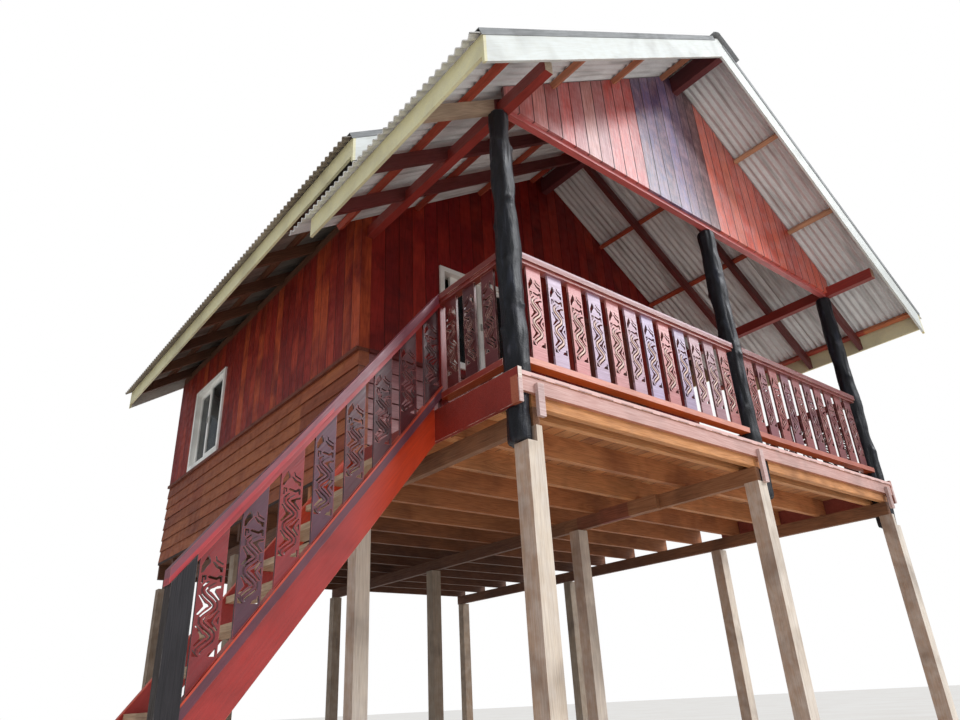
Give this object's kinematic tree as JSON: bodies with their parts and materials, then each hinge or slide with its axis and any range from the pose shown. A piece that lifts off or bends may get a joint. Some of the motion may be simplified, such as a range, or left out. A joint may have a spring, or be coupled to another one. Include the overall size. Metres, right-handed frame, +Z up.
{
  "type": "stilt house",
  "caption": "Timber house on tall stilts with an open porch, carved balustrades, a closed room, a side stair and a stepped corrugated gable roof.",
  "frame": {"origin": "middle of the foot of the middle front stilt, on the ground", "axes": "+X to the right along the front, +Y to the back, +Z up"},
  "size_m": [6.9667, 6.9633, 6.2171],
  "materials": {
    "stilt_wood": "raw sawn timber, weathered",
    "beam_wood": "raw brown timber",
    "joist_wood": "raw brown timber",
    "floor_wood": "raw boards",
    "rim_paint": "thin worn red stain",
    "log_paint": "black gloss paint on a knobbly log",
    "rail_paint": "red varnish, carved boards pink and lilac",
    "string_paint": "bright orange red paint",
    "tread_wood": "pale raw boards",
    "newel_paint": "dark grey paint",
    "wall_varnish": "deep red varnish on boards",
    "door_wood": "red brown varnish",
    "window_paint": "white paint",
    "pane_glass": "dark clear panes",
    "plate_paint": "red paint, pale end grain",
    "tie_paint": "dark red paint",
    "roof_timber": "dark red stain",
    "purlin_wood": "orange red stain",
    "gable_boards": "boards of mixed red and brown varnish",
    "roof_sheet": "weathered grey corrugated sheet",
    "edge_paint": "cream and white paint",
    "cap_sheet": "grey moulded cap"
  },
  "bodies": {
    "root": {"stilts_front": "stilt_wood", "stilts_second": "stilt_wood", "stilts_third": "stilt_wood", "stilts_back": "stilt_wood", "floor_beams": "beam_wood", "floor_joists": "joist_wood", "deck_floor": "floor_wood", "room_floor": "floor_wood", "deck_rims": "rim_paint", "log_post_left": "log_paint", "log_post_middle": "log_paint", "log_post_right": "log_paint", "front_balustrade_left": "rail_paint", "front_balustrade_right": "rail_paint", "side_balustrade_left": "rail_paint", "side_balustrade_right": "rail_paint", "stair_strings": "string_paint", "stair_treads": "tread_wood", "stair_balustrade": "rail_paint", "newel_bottom": "newel_paint", "newel_top": "rail_paint", "left_wall": "wall_varnish", "right_wall": "wall_varnish", "back_wall": "wall_varnish", "front_wall": "wall_varnish", "entrance_door": "door_wood", "left_window": "window_paint", "right_window": "window_paint", "porch_window": "window_paint", "window_glass": "pane_glass", "porch_plates": "plate_paint", "tie_beam": "tie_paint", "ridge_beams": "roof_timber", "porch_rafters": "roof_timber", "porch_purlins": "purlin_wood", "porch_gable": "gable_boards", "porch_roof_sheets": "roof_sheet", "porch_edge_boards": "edge_paint", "room_plates": "roof_timber", "room_rafters": "roof_timber", "room_purlins": "purlin_wood", "room_roof_sheets": "roof_sheet", "room_edge_boards": "edge_paint", "roof_caps": "cap_sheet"}
  },
  "joints": []
}
